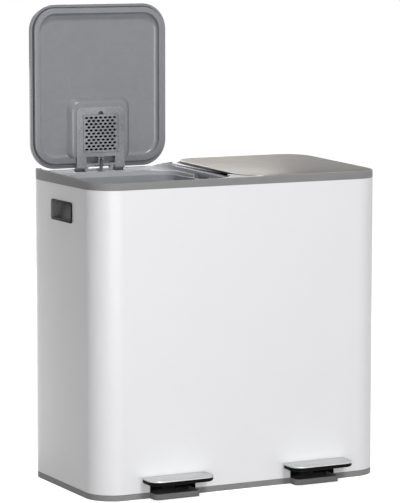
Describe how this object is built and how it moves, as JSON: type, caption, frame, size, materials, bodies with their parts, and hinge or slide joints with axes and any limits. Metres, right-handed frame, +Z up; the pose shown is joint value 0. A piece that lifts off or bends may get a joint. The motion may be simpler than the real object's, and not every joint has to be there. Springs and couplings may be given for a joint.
{
  "type": "double recycling bin",
  "caption": "Floor-standing pedal bin with two compartments side by side, lift-out buckets, rear-hinged lids and a filter in each lid.",
  "frame": {"origin": "centre of the base's underside, on the floor", "axes": "+X to the right as seen from the pedals, +Y to the hinge side at the back, +Z up"},
  "size_m": [0.654, 0.4075, 0.9739],
  "materials": {
    "white_paint": "satin",
    "lid_steel": "satin",
    "grey_plastic": "fine matte",
    "dark_plastic": "fine matte",
    "black_plastic": "matte",
    "bucket_plastic": "satin",
    "tread_steel": "satin",
    "lever_steel": "black coated",
    "zinc_steel": "zinc plated",
    "pad_rubber": "matte",
    "filter_felt": "felt"
  },
  "bodies": {
    "bin_body": {"body_shell": "white_paint", "back_panel": "white_paint", "top_collar": "grey_plastic", "divider_bar": "grey_plastic", "base_tray": "grey_plastic", "foot_pad_front_left": "pad_rubber", "foot_pad_front_right": "pad_rubber", "foot_pad_back_left": "pad_rubber", "foot_pad_back_right": "pad_rubber", "left_grip_cup": "dark_plastic", "right_grip_cup": "dark_plastic", "left_hinge_pin": "zinc_steel", "right_hinge_pin": "zinc_steel", "left_pedal_housing": "black_plastic", "right_pedal_housing": "black_plastic", "left_pivot_shaft": "zinc_steel", "right_pivot_shaft": "zinc_steel", "left_rod_guide_low": "dark_plastic", "right_rod_guide_low": "dark_plastic", "left_rod_guide_high": "dark_plastic", "right_rod_guide_high": "dark_plastic", "right_bucket": "bucket_plastic"},
    "left_lid": {"left_lid_cover": "lid_steel", "left_lid_liner": "grey_plastic", "left_hinge_plate": "grey_plastic", "left_filter_pad": "filter_felt", "left_lift_pin": "zinc_steel"},
    "left_filter_door": {"left_filter_cover": "grey_plastic"},
    "right_lid": {"right_lid_cover": "lid_steel", "right_lid_liner": "grey_plastic", "right_hinge_plate": "grey_plastic", "right_filter_cover": "grey_plastic", "right_filter_pad": "filter_felt", "right_lift_pin": "zinc_steel"},
    "left_bucket_body": {"left_bucket": "bucket_plastic"},
    "left_pedal": {"left_pedal_tread": "tread_steel", "left_pedal_body": "black_plastic", "left_pedal_lever": "lever_steel"},
    "right_pedal": {"right_pedal_tread": "tread_steel", "right_pedal_body": "black_plastic", "right_pedal_lever": "lever_steel"},
    "left_rod": {"left_push_rod": "zinc_steel"},
    "right_rod": {"right_push_rod": "zinc_steel"}
  },
  "joints": [
    {"name": "left_lid_hinge", "type": "hinge", "parent": "bin_body", "child": "left_lid", "pos_m": [-0.1625, 0.168, 0.63889], "axis": [-1, 0, 0], "range_deg": [-91.43, 0]},
    {"name": "right_lid_hinge", "type": "hinge", "parent": "bin_body", "child": "right_lid", "pos_m": [0.1625, 0.168, 0.63889], "axis": [-1, 0, 0], "range_deg": [0, 91.43]},
    {"name": "left_filter_cover_hinge", "type": "hinge", "parent": "left_lid", "child": "left_filter_door", "pos_m": [-0.1625, 0.1571, 0.66619], "axis": [1, 0, 0], "range_deg": [0, 20]},
    {"name": "left_bucket_lift", "type": "slide", "parent": "bin_body", "child": "left_bucket_body", "axis": [0, 0, 1], "range_m": [0, 0.6]},
    {"name": "left_pedal_pivot", "type": "hinge", "parent": "bin_body", "child": "left_pedal", "pos_m": [-0.16, -0.01, 0.02], "axis": [1, 0, 0], "range_deg": [0, 6.8], "stiffness_Nm_per_rad": 1.5, "springref_deg": -28.65},
    {"name": "right_pedal_pivot", "type": "hinge", "parent": "bin_body", "child": "right_pedal", "pos_m": [0.16, -0.01, 0.02], "axis": [1, 0, 0], "range_deg": [0, 6.8]},
    {"name": "left_rod_slide", "type": "slide", "parent": "bin_body", "child": "left_rod", "axis": [0, 0, 1], "range_m": [-0.0204, 0]},
    {"name": "right_rod_slide", "type": "slide", "parent": "bin_body", "child": "right_rod", "axis": [0, 0, 1], "range_m": [0, 0.0204]}
  ],
  "couplings": [
    {"joint": "left_rod_slide", "follows": "left_lid_hinge", "m_per_rad": 0.01275},
    {"joint": "right_rod_slide", "follows": "right_lid_hinge", "m_per_rad": 0.01275},
    {"joint": "right_pedal_pivot", "follows": "right_lid_hinge", "ratio": 0.07437}
  ]
}
